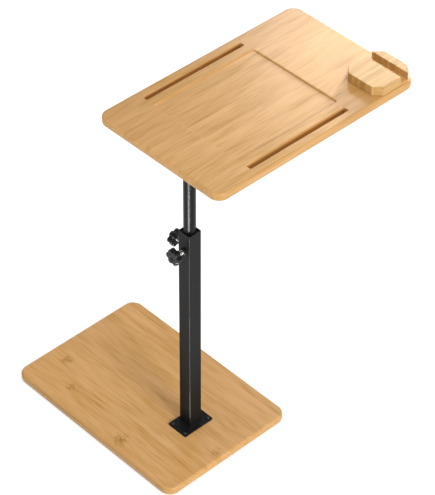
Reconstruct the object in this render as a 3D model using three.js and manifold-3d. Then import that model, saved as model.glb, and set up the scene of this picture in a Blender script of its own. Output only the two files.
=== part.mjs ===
// C-shaped side table: a tray on a height-adjustable, swivelling post that stands at one
// end of a flat base board, so that the base slides under a seat and the tray over it.
// Units are millimetres and +Z is up. The origin is on the post's axis, at floor level. The
// base is long in Y, and the tray is long in X.

import * as THREE from 'three';
import { mergeVertices } from 'three/addons/utils/BufferGeometryUtils.js';
import Module from 'manifold-3d';

const wasm = await Module();
wasm.setup();

// Base board
const baseWidth = 320;
const baseLength = 460;
const baseThickness = 18;
const baseCornerRadius = 24;
const boardEdgeRound = 5;
const postFromBaseEnd = 112;

// Anti-slip pads under the base board
const footRadius = 10;
const footThickness = 2;
const footFromEdge = 32;

// Flange that holds the post on the base board
const flangeLength = 75;
const flangeWidth = 50;
const flangeThickness = 3;
const flangeCornerRadius = 2.5;
const flangeScrewSpacingX = 61;
const flangeScrewSpacingY = 35;

// Square outer tube
const outerTubeSize = 30;
const outerTubeWall = 1.5;
const outerTubeCornerRadius = 2;
const outerTubeLength = 500;

// Round inner tube
const innerTubeRadius = 12;
const innerTubeWall = 1.5;
const innerTubeLength = 490;
const trayAboveOuterTube = 204;

// Guide bush in the top of the outer tube, and glide at the foot of the inner tube
const guideHeight = 12;
const guideBelowRim = 3;
const glideHeight = 16;
const glideSpigotHeight = 22;
const glideLeadIn = 1.2;

// Clamp screws
const clampBelowRim = 42;
const studRadius = 4;
const tipRadius = 3.7;
const tipLength = 4;
const bossRadius = 7;
const bossHeight = 4;
const studShown = 14;
const studInKnob = 9;
const knobRadius = 17;
const knobLobes = 6;
const knobLobeDepth = 3.6;
const knobThickness = 12;
const knobEdgeRound = 2;
const knobDishRadius = 6;
const knobDishDepth = 1.5;

// Bracket under the tray
const bracketLength = 100;
const bracketWidth = 60;
const bracketThickness = 3;
const bracketCornerRadius = 8;
const bracketScrewSpacingX = 80;
const bracketScrewSpacingY = 40;
const collarWall = 3;
const collarHeight = 14;

// Tray board
const trayLength = 500;
const trayWidth = 320;
const trayThickness = 18;
const trayCornerRadius = 24;
const postFromTrayEnd = 79.5;

// Shallow well in the tray's top
const wellFromTrayEnd = 93.5;
const wellLength = 250;
const wellWidth = 218;
const wellDepth = 3;
const wellCornerRadius = 5;

// Tablet grooves along both long edges of the tray
const grooveFromTrayEnd = 94.5;
const grooveLength = 246;
const grooveWidth = 12.3;
const grooveDepth = 14;
const grooveFromSide = 24.5;
const grooveEndRadius = 4;

// Phone holder block on the tray
const blockLength = 97;
const blockWidth = 91;
const blockHeight = 20;
const blockChamfer = 16;
const blockFromTrayEnd = 2.5;
const blockFromTraySide = 4;
const blockEdgeEase = 0.8;
const phoneSlotFromFace = 61;
const phoneSlotWidth = 18;
const phoneSlotDepth = 15;

// Screws: pan heads with a cross recess
const screwShankRadius = 1.8;
const screwHeadRadius = 3.8;
const screwHeadHeight = 2.2;
const screwRecessDepth = 1.1;
const screwRecessWidth = 0.9;
const screwTipLength = 3;
const flangeScrewLength = 14;
const bracketScrewLength = 13;
const blockScrewLength = 26;
const blockScrewSpacing = 46;
const blockScrewFromFace = 30;
const counterboreDepth = 4;

// Clearances
const slideClearance = 0.3;
const screwClearance = 0.3;
const plateHoleClearance = 0.45;
const counterboreClearance = 0.8;

// Facets
const arcSegments = 7;
const roundSegments = 36;
const smallRoundSegments = 18;
const overcut = 5;

// Heights that follow from the sizes above
const baseUnderside = footThickness;
const baseTop = baseUnderside + baseThickness;
const flangeTop = baseTop + flangeThickness;
const outerTubeTop = flangeTop + outerTubeLength;
const trayUnderside = outerTubeTop + trayAboveOuterTube;
const trayTop = trayUnderside + trayThickness;
const bracketUnderside = trayUnderside - bracketThickness;
const innerTubeFoot = bracketUnderside - innerTubeLength;
const clampHeight = outerTubeTop - clampBelowRim;
const outerTubeBore = outerTubeSize - 2 * outerTubeWall;
const innerTubeBoreRadius = innerTubeRadius - innerTubeWall;
const glideSize = outerTubeBore - 2 * slideClearance;
const outerTubeBoreRadius = Math.max(outerTubeCornerRadius - outerTubeWall, 0.5);

// Places in plan that follow from the sizes above
const baseCentreY = baseLength / 2 - postFromBaseEnd;
const trayEndX = -postFromTrayEnd;
const trayFarEndX = trayEndX + trayLength;
const wellCentreX = trayEndX + wellFromTrayEnd + wellLength / 2;
const grooveCentreX = trayEndX + grooveFromTrayEnd + grooveLength / 2;
const grooveCentreY = trayWidth / 2 - grooveFromSide;
const blockFaceX = trayFarEndX - blockFromTrayEnd - blockLength;
const blockCentreX = blockFaceX + blockLength / 2;
const blockCentreY = -trayWidth / 2 + blockFromTraySide + blockWidth / 2;

const assembly = new THREE.Group();

// Adds one named piece to the assembly, with a material of its own
function addPiece(name, geometry, finish) {
  const mesh = new THREE.Mesh(geometry, new THREE.MeshStandardMaterial(finish));
  mesh.name = name;
  assembly.add(mesh);
  return mesh;
}

const bamboo = { color: '#cfa068', roughness: 0.5, metalness: 0 };
const blackSteel = { color: '#2e2d2b', roughness: 0.45, metalness: 0.3 };
const blackPlastic = { color: '#232224', roughness: 0.5, metalness: 0 };
const zinc = { color: '#cfcfca', roughness: 0.3, metalness: 0.9 };
const blackScrew = { color: '#3a3a3c', roughness: 0.35, metalness: 0.8 };
const rubber = { color: '#1f1f20', roughness: 0.8, metalness: 0 };

// Turns a closed geometry into a solid that can be cut and joined
function solidOf(geometry) {
  const bare = geometry.clone();
  bare.deleteAttribute('normal');
  bare.deleteAttribute('uv');
  const merged = mergeVertices(bare);
  const corners = merged.index.array;
  const triangles = [];
  for (let i = 0; i < corners.length; i += 3) {
    const [a, b, c] = [corners[i], corners[i + 1], corners[i + 2]];
    if (a !== b && b !== c && c !== a) triangles.push(a, b, c);
  }
  return new wasm.Manifold(new wasm.Mesh({
    numProp: 3,
    vertProperties: new Float32Array(merged.attributes.position.array),
    triVerts: new Uint32Array(triangles),
  }));
}

// Turns a solid back into a geometry
function geometryOf(solid) {
  const mesh = solid.getMesh();
  const geometry = new THREE.BufferGeometry();
  geometry.setAttribute('position', new THREE.BufferAttribute(mesh.vertProperties, 3));
  geometry.setIndex(new THREE.BufferAttribute(mesh.triVerts, 1));
  return geometry;
}

// Cuts every cutter away from a body
function cut(body, cutters) {
  let solid = solidOf(body);
  for (const cutter of cutters) solid = solid.subtract(solidOf(cutter));
  return geometryOf(solid);
}

// Joins bodies that overlap into one
function join(bodies) {
  let solid = solidOf(bodies[0]);
  for (const body of bodies.slice(1)) solid = solid.add(solidOf(body));
  return geometryOf(solid);
}

// A rectangle with round corners, centred on the origin
function roundedRectangle(length, width, radius, Outline = THREE.Shape) {
  const x = length / 2 - radius;
  const y = width / 2 - radius;
  const outline = new Outline();
  outline.absarc(x, y, radius, 0, Math.PI / 2, false);
  outline.absarc(-x, y, radius, Math.PI / 2, Math.PI, false);
  outline.absarc(-x, -y, radius, Math.PI, 1.5 * Math.PI, false);
  outline.absarc(x, -y, radius, 1.5 * Math.PI, 2 * Math.PI, false);
  outline.closePath();
  return outline;
}

// A straight extrusion of an outline, from one height to another
function prism(outline, fromZ, toZ, segments = arcSegments) {
  const options = { depth: toZ - fromZ, bevelEnabled: false, curveSegments: segments };
  return new THREE.ExtrudeGeometry(outline, options).translate(0, 0, fromZ);
}

// A plate whose upper and lower edges are rounded over, inside its outline
function roundedPlate(outline, fromZ, toZ, round, steps, segments = arcSegments) {
  const options = {
    depth: toZ - fromZ - 2 * round,
    bevelEnabled: true,
    bevelThickness: round,
    bevelSize: round,
    bevelOffset: -round,
    bevelSegments: steps,
    curveSegments: segments,
  };
  return new THREE.ExtrudeGeometry(outline, options).translate(0, 0, fromZ + round);
}

// A solid turned about Z, from a profile of [radius, height] points
function turned(profile, segments) {
  const points = profile.map(([radius, height]) => new THREE.Vector2(radius, height));
  return new THREE.LatheGeometry(points, segments).rotateX(Math.PI / 2);
}

// A plain cylinder along Z
function cylinder(radius, fromZ, toZ, segments = smallRoundSegments) {
  return turned([[0, fromZ], [radius, fromZ], [radius, toZ], [0, toZ]], segments);
}

// The four corners of a rectangle, as [x, y] places
function rectangleCorners(lengthX, lengthY) {
  const signs = [[-1, -1], [1, -1], [1, 1], [-1, 1]];
  return signs.map(([sx, sy]) => [sx * lengthX / 2, sy * lengthY / 2]);
}

// A pan-head wood screw that points down, with its head's seat at height zero
function panHeadScrew(shankLength) {
  const crown = screwHeadHeight * 0.55;
  const body = turned([
    [0, -shankLength],
    [screwShankRadius * 0.25, -shankLength],
    [screwShankRadius, -shankLength + screwTipLength],
    [screwShankRadius, 0],
    [screwHeadRadius, 0],
    [screwHeadRadius, crown],
    [screwHeadRadius * 0.8, screwHeadHeight * 0.88],
    [screwHeadRadius * 0.4, screwHeadHeight],
    [0, screwHeadHeight],
  ], smallRoundSegments);
  const recessLength = screwHeadRadius;
  const recessZ = screwHeadHeight;
  const slotX = new THREE.BoxGeometry(recessLength, screwRecessWidth, 2 * screwRecessDepth);
  const slotY = new THREE.BoxGeometry(screwRecessWidth, recessLength, 2 * screwRecessDepth);
  return cut(body, [slotX.translate(0, 0, recessZ), slotY.translate(0, 0, recessZ)]);
}

// Base board: laminated bamboo with rounded corners and edges, drilled for the flange screws
const flangeScrewPlaces = rectangleCorners(flangeScrewSpacingX, flangeScrewSpacingY);
const screwPilotRadius = screwShankRadius + screwClearance;
const baseBoard = roundedPlate(
  roundedRectangle(baseWidth, baseLength, baseCornerRadius),
  baseUnderside, baseTop, boardEdgeRound, 3,
).translate(0, baseCentreY, 0);
const flangePilotDepth = flangeScrewLength - flangeThickness + screwClearance;
const basePilots = flangeScrewPlaces.map(([x, y]) => (
  cylinder(screwPilotRadius, baseTop - flangePilotDepth, baseTop + overcut).translate(x, y, 0)
));
addPiece('base_board', cut(baseBoard, basePilots), bamboo);

// Anti-slip pads near the corners of the base board
rectangleCorners(baseWidth - 2 * footFromEdge, baseLength - 2 * footFromEdge)
  .forEach(([x, y], i) => {
    const pad = cylinder(footRadius, 0, baseUnderside, roundSegments);
    addPiece(`foot_pad_${i + 1}`, pad.translate(x, y + baseCentreY, 0), rubber);
  });

// Flange plate, welded to the outer tube and screwed to the base board
const flangePlate = prism(
  roundedRectangle(flangeLength, flangeWidth, flangeCornerRadius), baseTop, flangeTop, 4,
);
const plateHoleRadius = screwShankRadius + plateHoleClearance;
const flangeHoles = flangeScrewPlaces.map(([x, y]) => (
  cylinder(plateHoleRadius, baseTop - overcut, flangeTop + overcut).translate(x, y, 0)
));
addPiece('post_flange', cut(flangePlate, flangeHoles), blackSteel);
flangeScrewPlaces.forEach(([x, y], i) => {
  const screw = panHeadScrew(flangeScrewLength).translate(x, y, flangeTop);
  addPiece(`flange_screw_${i + 1}`, screw, blackScrew);
});

// Outer tube: square steel tube with a hole for each clamp screw
const tubeOutline = roundedRectangle(outerTubeSize, outerTubeSize, outerTubeCornerRadius);
tubeOutline.holes.push(
  roundedRectangle(outerTubeBore, outerTubeBore, outerTubeBoreRadius, THREE.Path),
);
const clampHoleRadius = studRadius + slideClearance;
const clampTurns = { a: -Math.PI / 2, b: Math.PI };

// Lays a piece that was made along Z on a clamp's axis, pointing out of the tube
function onClampAxis(geometry, turn) {
  return geometry.rotateX(-Math.PI / 2).rotateZ(turn + Math.PI).translate(0, 0, clampHeight);
}

const clampHoles = Object.values(clampTurns).map((turn) => (
  onClampAxis(cylinder(clampHoleRadius, innerTubeBoreRadius, outerTubeSize), turn)
));
addPiece('outer_tube', cut(prism(tubeOutline, flangeTop, outerTubeTop, 4), clampHoles), blackSteel);

// Guide bush: a square nylon block in the top of the outer tube, bored for the inner tube
const guideTop = outerTubeTop - guideBelowRim;
const runningRadius = innerTubeRadius + slideClearance;
const guideBlock = prism(
  roundedRectangle(glideSize, glideSize, outerTubeBoreRadius), guideTop - guideHeight, guideTop, 2,
);
const guideBore = cylinder(
  runningRadius, guideTop - guideHeight - overcut, guideTop + overcut, roundSegments,
);
addPiece('guide_bush', cut(guideBlock, [guideBore]), blackPlastic);

// Inner tube: round steel tube that slides and turns in the guide bush
const innerTube = turned([
  [innerTubeBoreRadius, innerTubeFoot],
  [innerTubeRadius, innerTubeFoot],
  [innerTubeRadius, bracketUnderside],
  [innerTubeBoreRadius, bracketUnderside],
  [innerTubeBoreRadius, innerTubeFoot],
], roundSegments);
addPiece('inner_tube', innerTube, blackSteel);

// Glide: a square nylon foot that keeps the inner tube upright, with a spigot up its bore
const glideBlock = roundedPlate(
  roundedRectangle(glideSize, glideSize, outerTubeBoreRadius + glideLeadIn),
  innerTubeFoot - glideHeight, innerTubeFoot, glideLeadIn, 1, 3,
);
const spigotRadius = innerTubeBoreRadius - slideClearance;
const spigotTop = innerTubeFoot + glideSpigotHeight;
const spigot = turned([
  [0, innerTubeFoot - glideHeight / 2],
  [spigotRadius, innerTubeFoot - glideHeight / 2],
  [spigotRadius, spigotTop - glideLeadIn],
  [spigotRadius - glideLeadIn, spigotTop],
  [0, spigotTop],
], roundSegments);
addPiece('glide_foot', join([glideBlock, spigot]), blackPlastic);

// The outline of a clamp knob: round lobes with shallow hollows between them
function knobOutline() {
  const stepsPerLobe = 8;
  const steps = knobLobes * stepsPerLobe;
  const outline = new THREE.Shape();
  for (let i = 0; i < steps; i += 1) {
    const angle = (i / steps) * 2 * Math.PI;
    const wave = (1 - Math.cos(knobLobes * angle)) / 2;
    const radius = knobRadius - knobLobeDepth * wave ** 2;
    const point = [radius * Math.cos(angle), radius * Math.sin(angle)];
    if (i === 0) outline.moveTo(...point);
    else outline.lineTo(...point);
  }
  outline.closePath();
  return outline;
}

// Clamp screws, one on each of two neighbouring faces of the outer tube
const tipFace = innerTubeRadius + slideClearance;
const studInner = tipFace + tipLength;
const bossInner = outerTubeSize / 2;
const bossOuter = bossInner + bossHeight;
const knobInner = bossOuter + studShown;
const knobOuter = knobInner + knobThickness;
const studOuter = knobInner + studInKnob;
const studChamfer = 0.8;
for (const [side, turn] of Object.entries(clampTurns)) {
  const boss = cut(
    turned([
      [0, bossInner], [bossRadius, bossInner], [bossRadius, bossOuter - studChamfer],
      [bossRadius - studChamfer, bossOuter], [0, bossOuter],
    ], roundSegments),
    [cylinder(clampHoleRadius, bossInner - overcut, bossOuter + overcut)],
  );
  addPiece(`clamp_boss_${side}`, onClampAxis(boss, turn), blackSteel);

  const tip = cylinder(tipRadius, tipFace, studInner);
  addPiece(`clamp_tip_${side}`, onClampAxis(tip, turn), blackPlastic);

  const stud = turned([
    [0, studInner], [studRadius - studChamfer, studInner], [studRadius, studInner + studChamfer],
    [studRadius, studOuter], [0, studOuter],
  ], smallRoundSegments);
  addPiece(`clamp_stud_${side}`, onClampAxis(stud, turn), zinc);

  const knobBody = roundedPlate(knobOutline(), knobInner, knobOuter, knobEdgeRound, 2);
  const socket = cylinder(
    studRadius + screwClearance, knobInner - overcut, studOuter + screwClearance,
  );
  const dish = cylinder(knobDishRadius, knobOuter - knobDishDepth, knobOuter + overcut, roundSegments);
  addPiece(`clamp_knob_${side}`, onClampAxis(cut(knobBody, [socket, dish]), turn), blackPlastic);
}

// Bracket: a plate screwed under the tray, with a collar round the inner tube's top
const bracketScrewPlaces = rectangleCorners(bracketScrewSpacingX, bracketScrewSpacingY);
const bracketPlate = prism(
  roundedRectangle(bracketLength, bracketWidth, bracketCornerRadius),
  bracketUnderside, trayUnderside, 5,
);
const bracketHoles = bracketScrewPlaces.map(([x, y]) => (
  cylinder(plateHoleRadius, bracketUnderside - overcut, trayUnderside + overcut).translate(x, y, 0)
));
addPiece('tray_bracket', cut(bracketPlate, bracketHoles), blackSteel);
const collarBoreRadius = innerTubeRadius + slideClearance;
const collarRadius = collarBoreRadius + collarWall;
const collarFoot = bracketUnderside - collarHeight;
addPiece('bracket_collar', turned([
  [collarBoreRadius, collarFoot],
  [collarRadius - studChamfer, collarFoot],
  [collarRadius, collarFoot + studChamfer],
  [collarRadius, bracketUnderside],
  [collarBoreRadius, bracketUnderside],
  [collarBoreRadius, collarFoot],
], roundSegments), blackSteel);
bracketScrewPlaces.forEach(([x, y], i) => {
  const screw = panHeadScrew(bracketScrewLength).rotateX(Math.PI);
  addPiece(`bracket_screw_${i + 1}`, screw.translate(x, y, bracketUnderside), blackScrew);
});

// Tray board: laminated bamboo with a shallow well, two grooves and blind screw holes
const trayBoard = roundedPlate(
  roundedRectangle(trayLength, trayWidth, trayCornerRadius),
  trayUnderside, trayTop, boardEdgeRound, 3,
).translate(trayEndX + trayLength / 2, 0, 0);
const well = prism(
  roundedRectangle(wellLength, wellWidth, wellCornerRadius), trayTop - wellDepth, trayTop + overcut,
).translate(wellCentreX, 0, 0);
const grooves = [-grooveCentreY, grooveCentreY].map((y) => prism(
  roundedRectangle(grooveLength, grooveWidth, grooveEndRadius),
  trayTop - grooveDepth, trayTop + overcut, 4,
).translate(grooveCentreX, y, 0));
const bracketPilotTop = bracketUnderside + bracketScrewLength + screwClearance;
const bracketPilots = bracketScrewPlaces.map(([x, y]) => (
  cylinder(screwPilotRadius, trayUnderside - overcut, bracketPilotTop).translate(x, y, 0)
));
const blockScrewX = blockFaceX + blockScrewFromFace;
const blockScrewPlaces = [-1, 1].map((side) => (
  [blockScrewX, blockCentreY + side * blockScrewSpacing / 2]
));
const blockScrewSeat = trayUnderside + counterboreDepth;
const blockScrewHoles = blockScrewPlaces.flatMap(([x, y]) => [
  cylinder(screwPilotRadius, trayUnderside, trayTop + overcut).translate(x, y, 0),
  cylinder(screwHeadRadius + counterboreClearance, trayUnderside - overcut, blockScrewSeat)
    .translate(x, y, 0),
]);
addPiece(
  'tray_board', cut(trayBoard, [well, ...grooves, ...bracketPilots, ...blockScrewHoles]), bamboo,
);

// A rectangle whose corners are cut off at 45 degrees, centred on the origin
function chamferedRectangle(length, width, chamfer) {
  const [x, y] = [length / 2, width / 2];
  const outline = new THREE.Shape();
  outline.moveTo(-x + chamfer, -y);
  outline.lineTo(x - chamfer, -y);
  outline.lineTo(x, -y + chamfer);
  outline.lineTo(x, y - chamfer);
  outline.lineTo(x - chamfer, y);
  outline.lineTo(-x + chamfer, y);
  outline.lineTo(-x, y - chamfer);
  outline.lineTo(-x, -y + chamfer);
  outline.closePath();
  return outline;
}

// Phone holder: a solid bamboo block with cut-off corners and one slot right across it
const blockTop = trayTop + blockHeight;
const blockBody = roundedPlate(
  chamferedRectangle(blockLength, blockWidth, blockChamfer), trayTop, blockTop, blockEdgeEase, 1,
).translate(blockCentreX, blockCentreY, 0);
const phoneSlotX = blockFaceX + phoneSlotFromFace + phoneSlotWidth / 2;
const phoneSlotHeight = phoneSlotDepth + overcut;
const phoneSlot = new THREE.BoxGeometry(phoneSlotWidth, blockWidth + 2 * overcut, phoneSlotHeight)
  .translate(phoneSlotX, blockCentreY, blockTop - phoneSlotDepth + phoneSlotHeight / 2);
const blockPilotTop = blockScrewSeat + blockScrewLength + screwClearance;
const blockPilots = blockScrewPlaces.map(([x, y]) => (
  cylinder(screwPilotRadius, trayTop - overcut, blockPilotTop).translate(x, y, 0)
));
addPiece('phone_block', cut(blockBody, [phoneSlot, ...blockPilots]), bamboo);
blockScrewPlaces.forEach(([x, y], i) => {
  const screw = panHeadScrew(blockScrewLength).rotateX(Math.PI);
  addPiece(`block_screw_${i + 1}`, screw.translate(x, y, blockScrewSeat), blackScrew);
});

export default assembly;
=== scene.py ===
import math

import bmesh
import bpy
from mathutils import Matrix, Vector


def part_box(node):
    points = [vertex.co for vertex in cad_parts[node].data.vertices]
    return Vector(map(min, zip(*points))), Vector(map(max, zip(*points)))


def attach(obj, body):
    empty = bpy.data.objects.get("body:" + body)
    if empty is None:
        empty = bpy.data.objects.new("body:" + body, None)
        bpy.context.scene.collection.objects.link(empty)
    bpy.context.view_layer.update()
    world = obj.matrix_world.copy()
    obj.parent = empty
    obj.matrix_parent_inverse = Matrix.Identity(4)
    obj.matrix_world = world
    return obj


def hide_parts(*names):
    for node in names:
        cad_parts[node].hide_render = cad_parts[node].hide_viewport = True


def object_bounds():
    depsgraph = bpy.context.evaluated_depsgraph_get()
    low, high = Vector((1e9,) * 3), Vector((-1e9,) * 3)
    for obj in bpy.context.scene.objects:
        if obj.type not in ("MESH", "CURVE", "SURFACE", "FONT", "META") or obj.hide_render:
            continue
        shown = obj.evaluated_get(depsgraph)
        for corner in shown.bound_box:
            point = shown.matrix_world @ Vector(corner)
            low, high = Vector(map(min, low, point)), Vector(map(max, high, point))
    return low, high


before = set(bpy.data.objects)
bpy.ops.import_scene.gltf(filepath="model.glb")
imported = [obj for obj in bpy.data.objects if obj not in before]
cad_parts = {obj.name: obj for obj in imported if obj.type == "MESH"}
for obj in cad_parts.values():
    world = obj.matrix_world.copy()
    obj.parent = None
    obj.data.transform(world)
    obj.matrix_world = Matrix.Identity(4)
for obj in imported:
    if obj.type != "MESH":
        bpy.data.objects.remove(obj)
cad_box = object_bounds()

# Camera. It stands where the photograph was taken from: about four metres off, looking
# down across the post's near corner, through a long lens. The place is in metres from the
# post's foot, and the lens is for a picture 36 mm high.
CAMERA_PLACE = (-2.15459, -2.33553, 3.26752)
CAMERA_TURN = math.radians(-43.62)
CAMERA_DOWN = math.radians(41.25)
CAMERA_ROLL = math.radians(0.36)
LENS_MM = 165.716
PICTURE_MM = 36.0

lens = bpy.data.cameras.new("camera")
lens.sensor_fit = "VERTICAL"
lens.sensor_height = PICTURE_MM
lens.lens = LENS_MM
camera = bpy.data.objects.new("camera", lens)
aim = (Matrix.Rotation(CAMERA_TURN, 4, "Z") @ Matrix.Rotation(math.pi / 2 - CAMERA_DOWN, 4, "X")
       @ Matrix.Rotation(CAMERA_ROLL, 4, "Z"))
camera.location = CAMERA_PLACE
camera.rotation_euler = aim.to_euler()
bpy.context.scene.collection.objects.link(camera)
bpy.context.scene.camera = camera

# Base board. A flat board of laminated bamboo, 18 mm thick, glued from strips in three
# layers that run the board's length, with its corners and edges rounded on a router and a
# satin varnish over all of it.
MM = 0.001
SHARP_DEGREES = 35
BASE_CORNER = 24 * MM
BOARD_EDGE = 5 * MM
BASE_EASE = 0.3 * MM
BASE_PALE = "#e0ad71"
BASE_DARK = "#b98630"
KNUCKLE_BROWN = "#a2701a"

# A strip runs the whole length of its board, so its length in metres only has to be above that
STRIP_LENGTH = 100
STRIP = 20 * MM
PLY = 6 * MM
PLY_START = 0.5 * MM
GLUE = 0.9 * MM
GRAIN_START = Vector((5, 5, 0))

# How large each mark in the bamboo is, along the grain, across it and up
FIBRE = Vector((60, 3.0, 3)) * MM
BUNDLE = Vector((90, 10, 8)) * MM
DRIFT = Vector((150, 30, 60)) * MM
FLECK = Vector((6, 3, 4)) * MM
KNUCKLE = Vector((19, 24, 4)) * MM
KNUCKLE_RUFFLE = Vector((16, 10, 0)) * MM
RUFFLE_SIZE = 9 * MM
FIBRE_HEIGHT = 0.4 * MM

# How much the fibre lines and the slow drift of tone darken the wood
STREAK_WEIGHT = 0.42
DRIFT_WEIGHT = 0.45

# Each mark fades in between two levels of its noise or chance, and the dark tone between two
# levels of what the marks add up to
LINES_BEGIN, LINES_FULL = 0.36, 0.76
PATCHES_BEGIN, PATCHES_FULL = 0.36, 0.62
GLUE_BEGINS, GLUE_FULL = 0.45, 0.95
FLECKS_BEGIN, FLECKS_FULL = 0.42, 0.60
DARK_BEGINS, DARK_FULL = 0.16, 0.72

# What is left of the lines and the flecks in between, and how far out and how brown a knuckle's
# core is
LINES_OUTSIDE_PATCHES = 0.15
BROWN_BETWEEN_FLECKS = 0.10
KNUCKLE_CORE = 0.2
KNUCKLE_BROWNEST = 0.9

# The varnish is smoothest over the pale wood, and roughest over the fibre lines
VARNISH_SMOOTH, VARNISH_ROUGH = 0.38, 0.50


def linear(colour):
    """An sRGB hex colour as the linear red, green, blue and alpha that the shader takes."""
    parts = [int(colour[i:i + 2], 16) / 255 for i in (1, 3, 5)]
    curve = [c / 12.92 if c <= 0.04045 else ((c + 0.055) / 1.055) ** 2.4 for c in parts]
    return (*curve, 1.0)


def add_node(tree, kind, inputs=None, **settings):
    """Adds a shader node, sets its properties, and fills or links its inputs."""
    node = tree.nodes.new(kind)
    for key, value in settings.items():
        setattr(node, key, value)
    for place, value in (inputs or {}).items():
        if isinstance(value, bpy.types.NodeSocket):
            tree.links.new(value, node.inputs[place])
        else:
            node.inputs[place].default_value = value
    return node


def new_material(name, **sockets):
    """A material with its shader, whose constant values sit on the shader's own sockets."""
    material = bpy.data.materials.new(name)
    material.use_nodes = True
    tree = material.node_tree
    shader = tree.nodes["Principled BSDF"]
    for socket, value in sockets.items():
        shader.inputs[socket.replace("_", " ")].default_value = value
    return material, tree, shader


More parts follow.
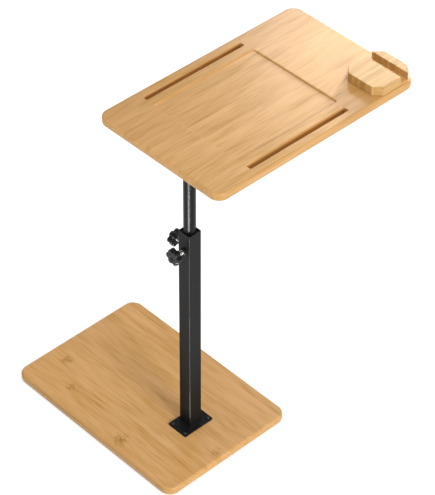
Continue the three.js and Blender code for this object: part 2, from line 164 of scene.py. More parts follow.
def bamboo(name, pale, dark, underside, seed, strip=STRIP, ply=PLY, turn=0.0, contrast=0.06,
           joint=0.35, knuckles=()):
    """Varnished laminated bamboo. Its grain runs along X, or is turned about Z from there."""
    # The eye gets pale straw-brown strips with soft brown streaks along them, a few dark
    # knuckles, and the broad sheen of a satin varnish that is thinner over the fibres
    material, tree, shader = new_material(name, IOR=1.5, Specular_IOR_Level=0.3,
                                          Coat_Weight=0.2, Coat_Roughness=0.25)
    coordinates = add_node(tree, "ShaderNodeTexCoord").outputs["Object"]
    board = add_node(tree, "ShaderNodeMapping",
                     {"Vector": coordinates, "Rotation": (0, 0, turn)}).outputs[0]

    # Each strip of each ply has a tone of its own, and its grain starts at a place of its own
    start = GRAIN_START + Vector((0, seed * strip, -underside - PLY_START))
    place = add_node(tree, "ShaderNodeVectorMath", {0: board, 1: start},
                     operation="ADD").outputs[0]
    own_strip = add_node(tree, "ShaderNodeVectorMath", {0: place, 1: (STRIP_LENGTH, strip, ply)},
                         operation="SNAP").outputs[0]
    chance = add_node(tree, "ShaderNodeTexWhiteNoise", {"Vector": own_strip},
                      noise_dimensions="3D").outputs["Color"]
    chances = add_node(tree, "ShaderNodeSeparateColor", {0: chance}).outputs
    shifted = add_node(tree, "ShaderNodeVectorMath", {0: chance, 1: (1, 0, 0), 2: place},
                       operation="MULTIPLY_ADD").outputs[0]

    # Fibres and their bundles are drawn coarser than the real ones, so that they show
    grain = {}
    for layer, size, detail in (("fibre", FIBRE, 2.0), ("bundle", BUNDLE, 2.0),
                                ("drift", DRIFT, 1.0), ("fleck", FLECK, 2.0)):
        drawn = add_node(tree, "ShaderNodeVectorMath", {0: shifted, 1: size}, operation="DIVIDE")
        noise = add_node(tree, "ShaderNodeTexNoise",
                         {"Vector": drawn.outputs[0], "Scale": 1.0, "Detail": detail})
        grain[layer] = noise.outputs["Fac"]

    # Thin dark lines of fibres lie in patches on the pale wood, over a slow drift of its tone
    lines = add_node(tree, "ShaderNodeMapRange",
                     {0: grain["fibre"], 1: LINES_BEGIN, 2: LINES_FULL})
    patches = add_node(tree, "ShaderNodeMapRange",
                       {0: grain["bundle"], 1: PATCHES_BEGIN, 2: PATCHES_FULL,
                        3: LINES_OUTSIDE_PATCHES, 4: 1.0})
    streaks = add_node(tree, "ShaderNodeMath", {0: lines.outputs[0], 1: patches.outputs[0]},
                       operation="MULTIPLY")
    parts = add_node(tree, "ShaderNodeCombineXYZ",
                     {0: streaks.outputs[0], 1: grain["drift"], 2: chances[1]})
    darkness = add_node(tree, "ShaderNodeVectorMath",
                        {0: parts.outputs[0], 1: (STREAK_WEIGHT, DRIFT_WEIGHT, contrast)},
                        operation="DOT_PRODUCT").outputs["Value"]

    # The glue between two strips shows as a thin dark line, on some strips more than on others
    across = add_node(tree, "ShaderNodeVectorMath", {0: place, 1: (1, strip, 1)},
                      operation="DIVIDE")
    across = add_node(tree, "ShaderNodeVectorMath", {0: across.outputs[0]}, operation="FRACTION")
    across = add_node(tree, "ShaderNodeSeparateXYZ", {0: across.outputs[0]})
    glue = add_node(tree, "ShaderNodeMapRange",
                    {0: across.outputs[1], 1: 0.0, 2: GLUE / strip, 3: 1.0, 4: 0.0})
    shows = add_node(tree, "ShaderNodeMapRange",
                     {0: chances[2], 1: GLUE_BEGINS, 2: GLUE_FULL, 3: 0.0, 4: joint})
    darkness = add_node(tree, "ShaderNodeMath",
                        {0: glue.outputs[0], 1: shows.outputs[0], 2: darkness},
                        operation="MULTIPLY_ADD").outputs[0]
    dark_share = add_node(tree, "ShaderNodeMapRange",
                          {0: darkness, 1: DARK_BEGINS + contrast / 2,
                           2: DARK_FULL + contrast / 2})
    colour = add_node(tree, "ShaderNodeMix",
                      {0: dark_share.outputs[0], 6: linear(pale), 7: linear(dark)},
                      data_type="RGBA").outputs[2]

    # A knuckle of the cane is a ruffled patch of dark flecks, across one strip or two
    ruffle = add_node(tree, "ShaderNodeTexNoise",
                      {"Vector": board, "Scale": 1 / RUFFLE_SIZE, "Detail": 2.0})
    ruffled = add_node(tree, "ShaderNodeVectorMath",
                       {0: ruffle.outputs["Color"], 1: KNUCKLE_RUFFLE, 2: board},
                       operation="MULTIPLY_ADD").outputs[0]
    fleck = add_node(tree, "ShaderNodeMapRange",
                     {0: grain["fleck"], 1: FLECKS_BEGIN, 2: FLECKS_FULL,
                      3: BROWN_BETWEEN_FLECKS, 4: 1.0}).outputs[0]
    for *spot, size in knuckles:
        away = add_node(tree, "ShaderNodeVectorMath",
                        {0: ruffled, 1: Vector(spot) + KNUCKLE_RUFFLE / 2}, operation="SUBTRACT")
        away = add_node(tree, "ShaderNodeVectorMath", {0: away.outputs[0], 1: KNUCKLE * size},
                        operation="DIVIDE")
        away = add_node(tree, "ShaderNodeVectorMath", {0: away.outputs[0]}, operation="LENGTH")
        near = add_node(tree, "ShaderNodeMapRange",
                        {0: away.outputs["Value"], 1: KNUCKLE_CORE, 2: 1.0,
                         3: KNUCKLE_BROWNEST, 4: 0.0},
                        interpolation_type="SMOOTHSTEP")
        mark = add_node(tree, "ShaderNodeMath", {0: near.outputs[0], 1: fleck},
                        operation="MULTIPLY")
        colour = add_node(tree, "ShaderNodeMix",
                          {0: mark.outputs[0], 6: colour, 7: linear(KNUCKLE_BROWN)},
                          data_type="RGBA").outputs[2]
    tree.links.new(colour, shader.inputs["Base Color"])

    shine = add_node(tree, "ShaderNodeMapRange",
                     {0: grain["fibre"], 3: VARNISH_SMOOTH, 4: VARNISH_ROUGH})
    bump = add_node(tree, "ShaderNodeBump",
                    {"Height": grain["fibre"], "Strength": 0.06, "Distance": FIBRE_HEIGHT})
    tree.links.new(shine.outputs[0], shader.inputs["Roughness"])
    tree.links.new(bump.outputs[0], shader.inputs["Normal"])
    return material


def block(low, high):
    """A plain square block from one corner to the other."""
    bm = bmesh.new()
    bmesh.ops.create_cube(bm, size=1.0)
    bmesh.ops.scale(bm, vec=high - low, verts=bm.verts)
    bmesh.ops.translate(bm, vec=(low + high) / 2, verts=bm.verts)
    return bm


def round_off(bm, edges, width, steps):
    """Rounds edges off by a width, or cuts them off flat in one step."""
    bmesh.ops.bevel(bm, geom=edges, offset=width, offset_type="OFFSET", segments=steps,
                    profile=0.5, affect="EDGES", material=-1)


def rise(edge):
    """How much one end of an edge lies above the other."""
    return abs(edge.verts[0].co.z - edge.verts[1].co.z)


def slab(low, high, corner, edge, corner_steps=14, edge_steps=5):
    """A block that is rounded in plan, and along its upper and lower edges."""
    bm = block(low, high)
    round_off(bm, [e for e in bm.edges if rise(e) > edge], corner, corner_steps)
    if edge:
        round_off(bm, [e for e in bm.edges if rise(e) < edge / 2], edge, edge_steps)
    return bm


def piece_from(bm, name, material, sharp=SHARP_DEGREES):
    """Makes an object of a bmesh, smooth where its faces meet at less than the sharp angle."""
    bmesh.ops.recalc_face_normals(bm, faces=bm.faces)
    mesh = bpy.data.meshes.new(name)
    bm.to_mesh(mesh)
    bm.free()
    mesh.materials.append(material)
    mesh.shade_smooth()
    mesh.set_sharp_from_angle(angle=math.radians(sharp))
    piece = bpy.data.objects.new(name, mesh)
    bpy.context.scene.collection.objects.link(piece)
    return piece


def ease_edges(piece, width, segments=2):
    """Breaks the sharp edges of a piece, and keeps its flat faces flat in the shading."""
    bevel = piece.modifiers.new("eased edges", "BEVEL")
    bevel.width = width
    bevel.segments = segments
    bevel.limit_method = "ANGLE"
    bevel.angle_limit = math.radians(SHARP_DEGREES)
    flat = piece.modifiers.new("flat faces", "WEIGHTED_NORMAL")
    flat.keep_sharp = True


def stand_for(piece, body, slot, *nodes):
    """Puts a piece on its body, in place of the CAD nodes that it stands for."""
    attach(piece, body)
    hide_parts(*nodes)


# Each has its place along the grain, across it and up, and its size: four show on top
BASE_KNUCKLES = [(-0.0585, -0.133, 0.020, 1.15), (-0.302, -0.064, 0.020, 0.8),
                 (0.096, -0.018, 0.020, 0.75), (-0.237, -0.111, 0.020, 0.6),
                 (-0.21, 0.05, 0.002, 1.0), (-0.03, -0.07, 0.002, 0.9)]

base_low, base_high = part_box("base_board")
base_bamboo = bamboo("varnished laminated bamboo, base", BASE_PALE, BASE_DARK, base_low.z, seed=3,
                     turn=math.pi / 2, knuckles=BASE_KNUCKLES)
base = piece_from(slab(base_low, base_high, BASE_CORNER, BOARD_EDGE), "base", base_bamboo)
ease_edges(base, BASE_EASE)
stand_for(base, "stand", "bamboo", "base_board")

# Foot pads. Four round pads of black foam rubber, stuck under the base board near its
# corners. They keep the varnish off the floor and the table from sliding.
PAD_EDGE = 0.5 * MM
FOAM_CELL = 1.2 * MM
FOAM_PIT = 0.2 * MM

# Closed-cell foam rubber, die-cut: dead matt and near black, with a fine pitted skin
foam_rubber, foam_tree, foam_shader = new_material(
    "foam rubber", Base_Color=linear("#1f1f20"), Roughness=0.85, IOR=1.45)
foam_place = add_node(foam_tree, "ShaderNodeTexCoord").outputs["Object"]
foam_cells = add_node(foam_tree, "ShaderNodeTexVoronoi",
                      {"Vector": foam_place, "Scale": 1 / FOAM_CELL})
foam_bump = add_node(foam_tree, "ShaderNodeBump",
                     {"Height": foam_cells.outputs["Distance"], "Strength": 0.4,
                      "Distance": FOAM_PIT})
foam_tree.links.new(foam_bump.outputs[0], foam_shader.inputs["Normal"])


def disc(low, high, edge, steps=48, edge_steps=3):
    """A flat round disc that fills a box, with its two rims rounded."""
    bm = bmesh.new()
    size = high - low
    bmesh.ops.create_cone(bm, cap_ends=True, segments=steps, radius1=size.x / 2,
                          radius2=size.x / 2, depth=size.z)
    bmesh.ops.translate(bm, vec=(low + high) / 2, verts=bm.verts)
    round_off(bm, [e for e in bm.edges if rise(e) < edge / 2], edge, edge_steps)
    return bm


for number in range(1, 5):
    node = f"foot_pad_{number}"
    pad = piece_from(disc(*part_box(node), PAD_EDGE), f"pad_{number}", foam_rubber)
    stand_for(pad, "stand", "pad_rubber", node)

# Flange. A 3 mm steel plate with a small radius at its corners, welded all round to the foot
# of the square tube and powder-coated black with it. Four screws hold it to the board.
FLANGE_CORNER = 2.5 * MM
FLANGE_EASE = 0.5 * MM
WELD = 2.0 * MM
WELD_CROWN = 0.95 * WELD
TUBE_CORNER = 1.2 * MM
PEEL = 1.1 * MM
PEEL_HEIGHT = 0.15 * MM
COAT_CLOUD = 70 * MM
COAT_SMOOTH, COAT_ROUGH = 0.38, 0.46

# A noise texture seldom leaves these two levels
NOISE_LOW, NOISE_HIGH = 0.3, 0.7

# Polyester powder coat, sprayed and baked: black, with a soft wide sheen and a fine orange peel
powder_coat, coat_tree, coat_shader = new_material("black powder coat", IOR=1.5,
                                                   Specular_IOR_Level=0.10)
coat_place = add_node(coat_tree, "ShaderNodeTexCoord").outputs["Object"]
peel = add_node(coat_tree, "ShaderNodeTexNoise",
                {"Vector": coat_place, "Scale": 1 / PEEL, "Detail": 2.0, "Roughness": 0.5})
cloud = add_node(coat_tree, "ShaderNodeTexNoise",
                 {"Vector": coat_place, "Scale": 1 / COAT_CLOUD, "Detail": 2.0}).outputs["Fac"]
coat_colour = add_node(coat_tree, "ShaderNodeMix",
                       {0: cloud, 6: linear("#151616"), 7: linear("#1c1d1d")}, data_type="RGBA")
coat_shine = add_node(coat_tree, "ShaderNodeMapRange",
                      {0: cloud, 1: NOISE_LOW, 2: NOISE_HIGH, 3: COAT_SMOOTH, 4: COAT_ROUGH})
coat_bump = add_node(coat_tree, "ShaderNodeBump",
                     {"Height": peel.outputs["Fac"], "Strength": 0.12, "Distance": PEEL_HEIGHT})
coat_tree.links.new(coat_colour.outputs[2], coat_shader.inputs["Base Color"])
coat_tree.links.new(coat_shine.outputs[0], coat_shader.inputs["Roughness"])
coat_tree.links.new(coat_bump.outputs[0], coat_shader.inputs["Normal"])

flange_low, flange_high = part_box("post_flange")
flange_bm = slab(flange_low, flange_high, FLANGE_CORNER, FLANGE_EASE, corner_steps=5, edge_steps=2)
flange = piece_from(flange_bm, "flange", powder_coat)
stand_for(flange, "stand", "black_steel", "post_flange")

tube_low, tube_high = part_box("outer_tube")
weld_out = Vector((WELD, WELD, 0))
weld_top = Vector((tube_high.x, tube_high.y, tube_low.z + WELD))
weld_bm = slab(tube_low - weld_out, weld_top + weld_out, TUBE_CORNER + WELD, 0, corner_steps=6)
weld_rim = [e for e in weld_bm.edges if min(v.co.z for v in e.verts) > tube_low.z + WELD / 2]
round_off(weld_bm, weld_rim, WELD_CROWN, steps=5)
weld = piece_from(weld_bm, "foot_weld", powder_coat)
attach(weld, "stand")

# Screws. Pan-head wood screws in black zinc with a cross recess, driven by hand, so no two
# crosses stand the same way. Four hold the flange, four the bracket, two the phone block.
SCREW_HEAD = 3.8 * MM
SCREW_CROWN = 2.2 * MM
SCREW_SHANK = 1.8 * MM
SCREW_POINT = 3 * MM
CROSS_WIDTH = 0.9 * MM
CROSS_LENGTH = 4.2 * MM
CROSS_DEPTH = 1.2 * MM

# A head's side stands up to this share of its height, and its crown is fuller than an ellipse
SCREW_SIDE = 0.35
SCREW_SWEEP = 0.92
SCREW_CROWN_STEPS = 6

# Black zinc plate, barrel-plated: a dark metal whose round heads catch small soft highlights
black_zinc = new_material("black zinc plate", Base_Color=linear("#4a4a4d"), Metallic=1.0,
                          Roughness=0.34)[0]


def turned(profile, steps=48):
    """A body turned about Z from [radius, height] points; it closes where they meet the axis."""
    bm = bmesh.new()
    points = [bm.verts.new((radius, 0, height)) for radius, height in profile]
    edges = [bm.edges.new(pair) for pair in zip(points, points[1:])]
    bmesh.ops.spin(bm, geom=points + edges, cent=(0, 0, 0), axis=(0, 0, 1), angle=2 * math.pi,
                   steps=steps, use_merge=True, dvec=(0, 0, 0))
    bmesh.ops.remove_doubles(bm, verts=bm.verts, dist=MM / 1000)
    return bm


def cut(piece, cutters):
    """Takes the cutters out of a piece, and clears them away."""
    for cutter in cutters:
        take = piece.modifiers.new("cut", "BOOLEAN")
        take.operation = "DIFFERENCE"
        take.solver = "EXACT"
        take.object = cutter
    bpy.context.view_layer.update()
    shaped = piece.evaluated_get(bpy.context.evaluated_depsgraph_get())
    mesh = bpy.data.meshes.new_from_object(shaped)
    piece.modifiers.clear()
    piece.data = mesh
    for cutter in cutters:
        bpy.data.objects.remove(cutter)
    mesh.set_sharp_from_angle(angle=math.radians(SHARP_DEGREES))


def middle(node):
    """The middle of a CAD node's box."""
    low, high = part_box(node)
    return (low + high) / 2


def drive_screw(node, body, seat_height, facing, cross_turn):
    """A screw whose head seats at a height and faces along Z, up (1) or down (-1)."""
    angles = [step * math.pi / 2 / SCREW_CROWN_STEPS for step in range(SCREW_CROWN_STEPS)]
    crown = [(SCREW_HEAD * math.cos(a * SCREW_SWEEP),
              SCREW_CROWN * (SCREW_SIDE + (1 - SCREW_SIDE) * math.sin(a))) for a in angles]
    low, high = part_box(node)
    seat = Vector((middle(node).x, middle(node).y, seat_height))
    length = seat.z - low.z if facing > 0 else high.z - seat.z
    profile = [(0, -length), (SCREW_SHANK, SCREW_POINT - length), (SCREW_SHANK, 0),
               (SCREW_HEAD, 0), *crown, (0, SCREW_CROWN)]
    screw = piece_from(turned(profile, steps=32), f"{node}_black", black_zinc)
    reach = Vector((CROSS_LENGTH, CROSS_WIDTH, 2 * CROSS_DEPTH)) / 2
    cutters = []
    for quarter in (0, math.pi / 2):
        slot_bm = block(-reach, reach)
        turn = Matrix.Rotation(cross_turn + quarter, 4, "Z")
        bmesh.ops.transform(slot_bm, matrix=Matrix.Translation((0, 0, SCREW_CROWN)) @ turn,
                            verts=slot_bm.verts)
        cutters.append(piece_from(slot_bm, "cross", black_zinc))
    cut(screw, cutters)
    flip = Matrix.Rotation(0 if facing > 0 else math.pi, 4, "X")
    screw.data.transform(Matrix.Translation(seat) @ flip)
    stand_for(screw, body, "black_screw", node)


for number in range(1, 5):
    drive_screw(f"flange_screw_{number}", "stand", flange_high.z, 1, cross_turn=number * 0.7)

# Outer tube. Square steel tube, 30 mm across with a 1.5 mm wall, cold-formed with small
# round corners, sawn square at the top and powder-coated after the bosses were welded on.
TUBE_WALL = 1.5 * MM
RIM_EASE = 0.35 * MM
STUD_HOLE = 4.3 * MM
HOLE_FROM = 8 * MM
HOLE_TO = 20 * MM

outer_bm = slab(tube_low, tube_high, TUBE_CORNER, 0, corner_steps=8)
ends = [f for f in outer_bm.faces if abs(f.normal.z) > 0.5]
bmesh.ops.delete(outer_bm, geom=ends, context="FACES_ONLY")
bmesh.ops.recalc_face_normals(outer_bm, faces=outer_bm.faces)
bmesh.ops.solidify(outer_bm, geom=outer_bm.faces, thickness=TUBE_WALL)
outer = piece_from(outer_bm, "outer_tube_coated", powder_coat)

# The two clamp screws stand on neighbouring faces of the tube, and face away from its axis
CLAMP_HEIGHT = middle("clamp_knob_a").z
OUTWARD = {"a": Vector((-1, 0, 0)), "b": Vector((0, 1, 0))}


def clamp_place(side):
    """Takes what was made along Z, from the post's axis outwards, to a clamp screw's axis."""
    outward = OUTWARD[side]
    up = Vector((0, 0, 1))
    level = up.cross(outward)
    turn = Matrix((level, up, outward)).transposed().to_4x4()
    return Matrix.Translation((0, 0, CLAMP_HEIGHT)) @ turn


hole_cutters = []
for side in OUTWARD:
    hole_bm = turned([(0, HOLE_FROM), (STUD_HOLE, HOLE_FROM), (STUD_HOLE, HOLE_TO), (0, HOLE_TO)])
    bmesh.ops.transform(hole_bm, matrix=clamp_place(side), verts=hole_bm.verts)
    hole_cutters.append(piece_from(hole_bm, "hole", powder_coat))
cut(outer, hole_cutters)
ease_edges(outer, RIM_EASE)
stand_for(outer, "stand", "black_steel", "outer_tube")

# Inner tube. Round steel tube, 24 mm across, that slides and turns in the nylon bush at the
# square tube's mouth. Its coat is smoother, and polished along its length by the bush.
INNER_WALL = 1.5 * MM
ENAMEL_SMOOTH, ENAMEL_ROUGH = 0.28, 0.33

# The bush rubs faint lines into the coat, about 1 mm apart and 170 mm long
RUBBED_LINES_PER_METRE = (900, 900, 6)

# Smooth black enamel over drawn steel: glossier than the powder coat, with one narrow long
# highlight, and faint lines along the tube where the bush rubs it
slick_coat, slick_tree, slick_shader = new_material(
    "smooth black enamel", Base_Color=linear("#141412"), IOR=1.5, Specular_IOR_Level=0.12)
slick_place = add_node(slick_tree, "ShaderNodeTexCoord").outputs["Object"]
drawn_lines = add_node(slick_tree, "ShaderNodeMapping",
                       {"Vector": slick_place, "Scale": RUBBED_LINES_PER_METRE})
rubbed = add_node(slick_tree, "ShaderNodeTexNoise",
                  {"Vector": drawn_lines.outputs[0], "Scale": 1.0, "Detail": 2.0})
slick_shine = add_node(slick_tree, "ShaderNodeMapRange",
                       {0: rubbed.outputs["Fac"], 1: NOISE_LOW, 2: NOISE_HIGH,
                        3: ENAMEL_SMOOTH, 4: ENAMEL_ROUGH})
slick_tree.links.new(slick_shine.outputs[0], slick_shader.inputs["Roughness"])

inner_low, inner_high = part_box("inner_tube")
inner_radius = (inner_high.x - inner_low.x) / 2
inner_bore = inner_radius - INNER_WALL
inner_bm = turned([(inner_bore, inner_low.z), (inner_radius, inner_low.z),
                   (inner_radius, inner_high.z), (inner_bore, inner_high.z),
                   (inner_bore, inner_low.z)], steps=96)
inner = piece_from(inner_bm, "inner_tube_coated", slick_coat)
stand_for(inner, "top", "black_steel", "inner_tube")

# Bush, glide and clamp pads. Black nylon, turned or moulded, in the shapes that the CAD gives:
# two guide the round tube in the square one, and the pads on the screws' ends grip it softly.
NYLON_GRAIN = 0.6 * MM
NYLON_GRAIN_HEIGHT = 0.1 * MM

# Black nylon: a waxy half-matt black with a fine grain
nylon, nylon_tree, nylon_shader = new_material(
    "black nylon", Base_Color=linear("#151516"), Roughness=0.45, IOR=1.53, Specular_IOR_Level=0.15)
nylon_place = add_node(nylon_tree, "ShaderNodeTexCoord").outputs["Object"]
nylon_grain = add_node(nylon_tree, "ShaderNodeTexNoise",
                       {"Vector": nylon_place, "Scale": 1 / NYLON_GRAIN, "Detail": 2.0})
nylon_bump = add_node(nylon_tree, "ShaderNodeBump",
                      {"Height": nylon_grain.outputs["Fac"], "Strength": 0.15,
                       "Distance": NYLON_GRAIN_HEIGHT})
nylon_tree.links.new(nylon_bump.outputs[0], nylon_shader.inputs["Normal"])
for node in ("guide_bush", "glide_foot", "clamp_tip_a", "clamp_tip_b"):
    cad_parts[node].data.materials.clear()
    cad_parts[node].data.materials.append(nylon)

# Clamp screws. On two neighbouring faces of the square tube a round threaded boss is welded,
# and in it runs a bright zinc-plated M8 stud with a black moulded six-lobe star knob.
BOSS_EASE = 0.8 * MM
PITCH = 1.25 * MM
THREAD_DEPTH = 0.75 * MM
THREAD_ROOT = 0.12
THREAD_CREST = 0.06
STUD_STEPS = 32
KNOB_RADIUS = 17 * MM
KNOB_LOBES = 6
KNOB_LOBE_STEPS = 16
KNOB_HOLLOW = 3.6 * MM
KNOB_EDGE = 1.6 * MM
KNOB_EASE = 0.4 * MM
KNOB_DISH = 6 * MM
KNOB_DISH_DEPTH = 1.2 * MM
KNOB_BORE = 4.2 * MM
BORE_PAST_KNOB = 1.5 * MM
BORE_PAST_STUD = 0.5 * MM
SPARK = 0.5 * MM
SPARK_HEIGHT = 0.12 * MM

# Bright zinc plate, rolled thread: a silvery metal whose thread breaks the highlight up
bright_zinc = new_material("bright zinc plate", Base_Color=linear("#d2d2cf"), Metallic=1.0,
                           Roughness=0.32)[0]

# Glass-filled nylon, moulded: a satin charcoal black, with a spark-eroded grain on every face
moulded, moulded_tree, moulded_shader = new_material(
    "glass-filled nylon", Base_Color=linear("#171516"), Roughness=0.38, IOR=1.53,
    Specular_IOR_Level=0.2)
moulded_place = add_node(moulded_tree, "ShaderNodeTexCoord").outputs["Object"]
spark = add_node(moulded_tree, "ShaderNodeTexNoise",
                 {"Vector": moulded_place, "Scale": 1 / SPARK, "Detail": 2.0})
spark_bump = add_node(moulded_tree, "ShaderNodeBump",
                      {"Height": spark.outputs["Fac"], "Strength": 0.3, "Distance": SPARK_HEIGHT})
moulded_tree.links.new(spark_bump.outputs[0], moulded_shader.inputs["Normal"])


def outward_span(node, side):
    """How far from the post's axis a node starts and ends, along its clamp screw."""
    spans = [corner.dot(OUTWARD[side]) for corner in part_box(node)]
    return min(spans), max(spans)


def upright_radius(node):
    """Half the height of a node that is round about a clamp screw's axis."""
    low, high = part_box(node)
    return (high.z - low.z) / 2


def threaded_stud(start, end, radius):
    """A threaded rod along Z: one thread's outline is screwed round, and its ends are cut off."""
    bm = bmesh.new()
    root = radius - THREAD_DEPTH

    # Each point has its radius, and its height as a share of the pitch
    outline = [(root, 0), (root, THREAD_ROOT), (radius, 0.5 - THREAD_CREST),
               (radius, 0.5 + THREAD_CREST), (root, 1 - THREAD_ROOT), (root, 1)]
    points = [bm.verts.new((r, 0, start + (z - 2) * PITCH)) for r, z in outline]
    edges = [bm.edges.new(pair) for pair in zip(points, points[1:])]
    turns = math.ceil((end - start) / PITCH) + 3
    bmesh.ops.spin(bm, geom=points + edges, cent=(0, 0, 0), axis=(0, 0, 1),
                   angle=2 * math.pi * turns, steps=STUD_STEPS * turns,
                   dvec=(0, 0, PITCH / STUD_STEPS), use_merge=False)
    bmesh.ops.remove_doubles(bm, verts=bm.verts, dist=MM / 500)
    for level, side in ((start, -1), (end, 1)):
        everything = bm.verts[:] + bm.edges[:] + bm.faces[:]
        parted = bmesh.ops.bisect_plane(bm, geom=everything, plane_co=(0, 0, level),
                                        plane_no=(0, 0, side), clear_outer=True)
        rim = [e for e in parted["geom_cut"] if isinstance(e, bmesh.types.BMEdge)]
        bmesh.ops.edgenet_fill(bm, edges=rim)
    return bm


def star_knob(inner_face, outer_face, radius):
    """A lobed knob along Z, flat on both faces, with its edges rounded."""
    bm = bmesh.new()
    bmesh.ops.create_circle(bm, cap_ends=True, radius=radius,
                            segments=KNOB_LOBES * KNOB_LOBE_STEPS)
    for vert in bm.verts:
        wave = (1 - math.cos(KNOB_LOBES * math.atan2(vert.co.y, vert.co.x))) / 2
        vert.co.xy *= 1 - KNOB_HOLLOW / radius * wave ** 2
    grown = bmesh.ops.extrude_face_region(bm, geom=bm.faces[:])["geom"]
    upper = [v for v in grown if isinstance(v, bmesh.types.BMVert)]
    bmesh.ops.translate(bm, vec=(0, 0, outer_face - inner_face), verts=upper)
    bmesh.ops.translate(bm, vec=(0, 0, inner_face), verts=bm.verts)
    round_off(bm, [e for e in bm.edges if rise(e) < MM], KNOB_EDGE, steps=4)
    return bm


for side in OUTWARD:
    boss_in, boss_out = outward_span(f"clamp_boss_{side}", side)
    boss_radius = upright_radius(f"clamp_boss_{side}")
    boss_bm = turned([(STUD_HOLE, boss_in), (boss_radius, boss_in),
                      (boss_radius, boss_out - BOSS_EASE), (boss_radius - BOSS_EASE, boss_out),
                      (STUD_HOLE, boss_out), (STUD_HOLE, boss_in)])
    bmesh.ops.transform(boss_bm, matrix=clamp_place(side), verts=boss_bm.verts)
    boss = piece_from(boss_bm, f"boss_{side}", powder_coat, sharp=50)
    stand_for(boss, "stand", "black_steel", f"clamp_boss_{side}")

    stud_in, stud_out = outward_span(f"clamp_stud_{side}", side)
    stud_bm = threaded_stud(stud_in, stud_out, upright_radius(f"clamp_stud_{side}"))
    bmesh.ops.transform(stud_bm, matrix=clamp_place(side), verts=stud_bm.verts)
    stud = piece_from(stud_bm, f"stud_{side}", bright_zinc, sharp=40)
    stand_for(stud, f"clamp_{side}_screw", "zinc", f"clamp_stud_{side}")

    # The stud ends in a bore through the knob, and the knob's outer face is dished round it
    knob_in, knob_out = outward_span(f"clamp_knob_{side}", side)
    knob = piece_from(star_knob(knob_in, knob_out, KNOB_RADIUS), f"knob_{side}", moulded, sharp=50)
    bore_in, bore_out = knob_in - BORE_PAST_KNOB, stud_out + BORE_PAST_STUD
    bore_bm = turned([(0, bore_in), (KNOB_BORE, bore_in), (KNOB_BORE, bore_out), (0, bore_out)])
    dish_in, dish_out = knob_out - KNOB_DISH_DEPTH, knob_out + MM
    dish_bm = turned([(0, dish_in), (KNOB_DISH - MM, dish_in), (KNOB_DISH, dish_out),
                      (0, dish_out)])
    cut(knob, [piece_from(bore_bm, "bore", moulded), piece_from(dish_bm, "dish", moulded)])
    knob.data.transform(clamp_place(side))
    ease_edges(knob, KNOB_EASE)
    stand_for(knob, f"clamp_{side}_screw", "black_plastic", f"clamp_knob_{side}")

# Bracket. A steel plate with a short collar welded on round the inner tube's end, and screwed
# up into the tray from below. It is coated with the tube.
BRACKET_CORNER = 8 * MM
COLLAR_EASE = 0.8 * MM
COLLAR_GAP = 0.3 * MM

bracket_low, bracket_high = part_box("tray_bracket")
bracket_bm = slab(bracket_low, bracket_high, BRACKET_CORNER, FLANGE_EASE, corner_steps=8,
                  edge_steps=2)
bracket = piece_from(bracket_bm, "bracket", powder_coat)
stand_for(bracket, "top", "black_steel", "tray_bracket")

collar_low, collar_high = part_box("bracket_collar")
collar_radius = (collar_high.x - collar_low.x) / 2
collar_bore = inner_radius + COLLAR_GAP
collar_bm = turned([(collar_bore, collar_low.z), (collar_radius - COLLAR_EASE, collar_low.z),
                    (collar_radius, collar_low.z + COLLAR_EASE), (collar_radius, collar_high.z),
                    (collar_bore, collar_high.z), (collar_bore, collar_low.z)], steps=64)
collar = piece_from(collar_bm, "collar", powder_coat, sharp=50)
stand_for(collar, "top", "black_steel", "bracket_collar")

for number in range(1, 5):
    drive_screw(f"bracket_screw_{number}", "top", bracket_low.z, -1, cross_turn=number * 1.1)

# Tray board. The same laminated bamboo, with its grain along the tray. A router has cut a
# shallow well for a book and, along each long edge, a groove that a tablet stands in.
# The tray's tones are a little darker than the base's, though both boards are the same bamboo:
# painted shade over the whole tray
TRAY_PALE = "#d6a56a"
TRAY_DARK = "#b0802f"
TRAY_CORNER = 23 * MM
TRAY_EASE = 0.9 * MM
WELL_LOW = Vector((14, -109, -3)) * MM
WELL_HIGH = Vector((264, 109, 5)) * MM
WELL_CORNER = 5 * MM
WELL_RIM = 2.2 * MM
RIM_FOUND_WITHIN = 0.1 * MM
GROOVE_START = 15 * MM
GROOVE_END = 261 * MM
GROOVE_OUT = 135.5 * MM
GROOVE_WIDTH = 12.3 * MM
GROOVE_DEPTH = 14 * MM
GROOVE_CORNER = 2.5 * MM
GROOVE_FOOT = 1 * MM
SINK = 4.6 * MM
SINK_DEPTH = 4 * MM
CUTTER_REACH = 5 * MM

# Each has its place along the grain, across it and up, and its size: all are underneath
TRAY_KNUCKLES = [(0.03, 0.07, 0.727, 1.0), (0.33, -0.04, 0.727, 0.8), (0.19, -0.10, 0.727, 1.1)]

tray_low, tray_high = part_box("tray_board")
tray_bamboo = bamboo("varnished laminated bamboo, tray", TRAY_PALE, TRAY_DARK, tray_low.z, seed=11,
                     knuckles=TRAY_KNUCKLES)
tray_top = Vector((0, 0, tray_high.z))
tray = piece_from(slab(tray_low, tray_high, TRAY_CORNER, BOARD_EDGE), "tray", tray_bamboo)
well_bm = slab(WELL_LOW + tray_top, WELL_HIGH + tray_top, WELL_CORNER, 0, corner_steps=8)
tray_cutters = [piece_from(well_bm, "well", tray_bamboo)]
for middle_y in (-GROOVE_OUT, GROOVE_OUT):
    groove_low = Vector((GROOVE_START, middle_y - GROOVE_WIDTH / 2, tray_high.z - GROOVE_DEPTH))
    groove_high = Vector((GROOVE_END, middle_y + GROOVE_WIDTH / 2, tray_high.z + CUTTER_REACH))
    groove_bm = slab(groove_low, groove_high, GROOVE_CORNER, GROOVE_FOOT, corner_steps=6,
                     edge_steps=3)
    tray_cutters.append(piece_from(groove_bm, "groove", tray_bamboo))
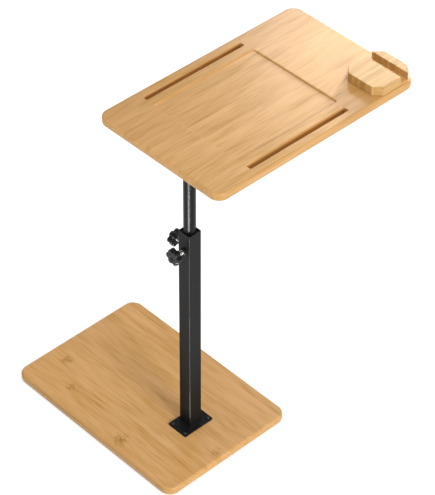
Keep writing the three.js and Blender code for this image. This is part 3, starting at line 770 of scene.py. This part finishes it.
for number in (1, 2):
    spot = middle(f"block_screw_{number}")
    sink_bm = turned([(0, -CUTTER_REACH), (SINK, -CUTTER_REACH), (SINK, SINK_DEPTH),
                      (0, SINK_DEPTH)])
    bmesh.ops.translate(sink_bm, vec=(spot.x, spot.y, tray_low.z), verts=sink_bm.verts)
    tray_cutters.append(piece_from(sink_bm, "sink", tray_bamboo))
cut(tray, tray_cutters)


def on_well_rim(vert):
    """Whether a vertex of the tray lies on the upper rim of its well, or inside it."""
    return (abs(vert.co.z - tray_high.z) < RIM_FOUND_WITHIN
            and WELL_LOW.x - TRAY_EASE < vert.co.x < WELL_HIGH.x + TRAY_EASE
            and WELL_LOW.y - TRAY_EASE < vert.co.y < WELL_HIGH.y + TRAY_EASE)


# The well's rim is sanded rounder than the other edges
tray_bm = bmesh.new()
tray_bm.from_mesh(tray.data)
well_rim = [e for e in tray_bm.edges if all(on_well_rim(v) for v in e.verts)]
round_off(tray_bm, well_rim, WELL_RIM, steps=6)
tray_bm.to_mesh(tray.data)
tray_bm.free()
ease_edges(tray, TRAY_EASE, segments=3)
stand_for(tray, "top", "bamboo", "tray_board")

# Phone block. A solid block glued from upright bamboo strips, with its four corners cut off
# at 45 degrees and a slot sawn right across it for a phone to stand in.
BLOCK_PALE = "#d6a96a"
BLOCK_DARK = "#a67a34"
BLOCK_CHAMFER = 16 * MM
BLOCK_EASE = 0.9 * MM
BLOCK_STRIP = 6.8 * MM
BLOCK_PLY = 1.0
SLOT_FROM_FACE = 61 * MM
SLOT_WIDTH = 18 * MM
SLOT_DEPTH = 15 * MM

# The strips stand upright, so one ply of them is far thicker than the block
block_low, block_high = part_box("phone_block")
block_bamboo = bamboo("varnished laminated bamboo, block", BLOCK_PALE, BLOCK_DARK, block_low.z,
                      seed=23, strip=BLOCK_STRIP, ply=BLOCK_PLY, contrast=0.40, joint=0.8)
block_bm = slab(block_low, block_high, BLOCK_CHAMFER, 0, corner_steps=1)
phone_block = piece_from(block_bm, "phone_rest", block_bamboo)
slot_low = Vector((block_low.x + SLOT_FROM_FACE, block_low.y - CUTTER_REACH,
                   block_high.z - SLOT_DEPTH))
slot_high = Vector((slot_low.x + SLOT_WIDTH, block_high.y + CUTTER_REACH,
                    block_high.z + CUTTER_REACH))
cut(phone_block, [piece_from(block(slot_low, slot_high), "slot", block_bamboo)])
ease_edges(phone_block, BLOCK_EASE, segments=3)
stand_for(phone_block, "top", "bamboo", "phone_block")

for number in (1, 2):
    drive_screw(f"block_screw_{number}", "top", tray_low.z + SINK_DEPTH, -1,
                cross_turn=number * 0.9)

# Floor. White studio paper that keeps the table's soft shadow. The camera, and what mirrors
# it, see a little more white than the lamps give, as in a picture cut out on white.
PAPER_GLOW = 0.56
PAPER_REACH = 12.0

# Studio paper: matt white without any grain
paper, paper_tree, paper_shader = new_material(
    "white studio paper", Base_Color=linear("#d8d8d7"), Roughness=0.9, Specular_IOR_Level=0.2,
    Emission_Color=(1, 1, 1, 1))
ray = add_node(paper_tree, "ShaderNodeLightPath").outputs
seen = add_node(paper_tree, "ShaderNodeMath", {0: ray["Is Camera Ray"], 1: ray["Is Glossy Ray"]},
                operation="MAXIMUM")
seen = add_node(paper_tree, "ShaderNodeMath", {0: seen.outputs[0], 1: ray["Is Transmission Ray"]},
                operation="MAXIMUM")
glow = add_node(paper_tree, "ShaderNodeMath", {0: seen.outputs[0], 1: PAPER_GLOW},
                operation="MULTIPLY")
paper_tree.links.new(glow.outputs[0], paper_shader.inputs["Emission Strength"])

floor_bm = bmesh.new()
bmesh.ops.create_grid(floor_bm, x_segments=1, y_segments=1, size=PAPER_REACH)
bmesh.ops.translate(floor_bm, vec=(0, 0, cad_box[0][2]), verts=floor_bm.verts)
floor = piece_from(floor_bm, "floor", paper)

# Lamps. A pale sky all round, a low soft lamp in front that lights the edges facing it, a small
# one at each end of the tray, a panel that gives the tray's far end its sheen, and three strips
# near the floor that only show as long highlights in the steel.
HORIZON = 0.04
ZENITH = 1.04
STRIP_TO_CAMERA = Vector((-0.845, -0.535, 0))
STRIP_HEIGHT = Vector((0, 0, 0.03))
STRIP_BEAM = 124

# The sky is darker at the horizon, so that faces that stand up are a little darker than tops
world = bpy.data.worlds.new("sky")
world.use_nodes = True
sky = world.node_tree
direction = add_node(sky, "ShaderNodeTexCoord").outputs["Generated"]
height = add_node(sky, "ShaderNodeSeparateXYZ", {0: direction}).outputs[2]
brightness = add_node(sky, "ShaderNodeMapRange", {0: height, 3: HORIZON, 4: ZENITH})
background = sky.nodes["Background"]
background.inputs["Color"].default_value = (1, 1, 1, 1)
sky.links.new(brightness.outputs[0], background.inputs["Strength"])
bpy.context.scene.world = world


def lamp(name, place, target, size, power, beam=180):
    """A soft lamp, so wide and high, that points at a target. A grid can narrow its beam."""
    light = bpy.data.lights.new(name, "AREA")
    light.shape = "RECTANGLE"
    light.size, light.size_y = size
    light.energy = power
    light.spread = math.radians(beam)
    holder = bpy.data.objects.new(name, light)
    holder.location = place
    holder.rotation_euler = (Vector(place) - Vector(target)).to_track_quat("Z", "Y").to_euler()
    bpy.context.scene.collection.objects.link(holder)
    return holder


lamp("front lamp", (-0.75, -7.2, 3.35), target=(0.1, 0.0, 0.5), size=(2.6, 0.9), power=400)
lamp("end lamp", (1.09, 0.21, 0.96), target=(0.36, -0.05, 0.745), size=(0.12, 0.12),
     power=0.42, beam=34)
lamp("near end lamp", (-0.78, 0.0, 0.735), target=(-0.08, 0.0, 0.735), size=(0.3, 0.3),
     power=0.22, beam=60)
sheen = lamp("sheen panel", (1.08, 0.68, 1.36), target=(0.41, 0.04, 0.745), size=(0.36, 0.36),
             power=0.25, beam=40)
sheen.visible_diffuse = False

# Only the post and its clamps take light from the strips, which lie a little to the left of
# the camera's direction. Their narrowed beam keeps them out of views from lower down.
mirrors = bpy.data.collections.new("lit by the strips")
for piece in (flange, weld, outer, inner, collar):
    mirrors.objects.link(piece)
for side in OUTWARD:
    for kind in ("boss", "stud", "knob"):
        mirrors.objects.link(bpy.data.objects[f"{kind}_{side}"])

# Each strip has its start and end in metres from the post, its width and its power. It lies
# along the direction of the camera, and shines straight up.
for name, start, end, width, power in (("near strip", 0.04, 0.19, 0.016, 0.75),
                                       ("middle strip", 0.19, 0.56, 0.07, 8.5),
                                       ("far strip", 0.56, 0.84, 0.25, 11.5)):
    place = STRIP_TO_CAMERA * (start + end) / 2 + STRIP_HEIGHT
    strip = lamp(name, place, (0, 0, 0), (end - start, width), power, STRIP_BEAM)
    strip.rotation_euler = (math.pi, 0, math.atan2(STRIP_TO_CAMERA.y, STRIP_TO_CAMERA.x))
    strip.visible_camera = False
    strip.visible_diffuse = False
    strip.light_linking.receiver_collection = mirrors

# Without a film curve, a colour renders about as it is written
bpy.context.scene.view_settings.view_transform = "Standard"
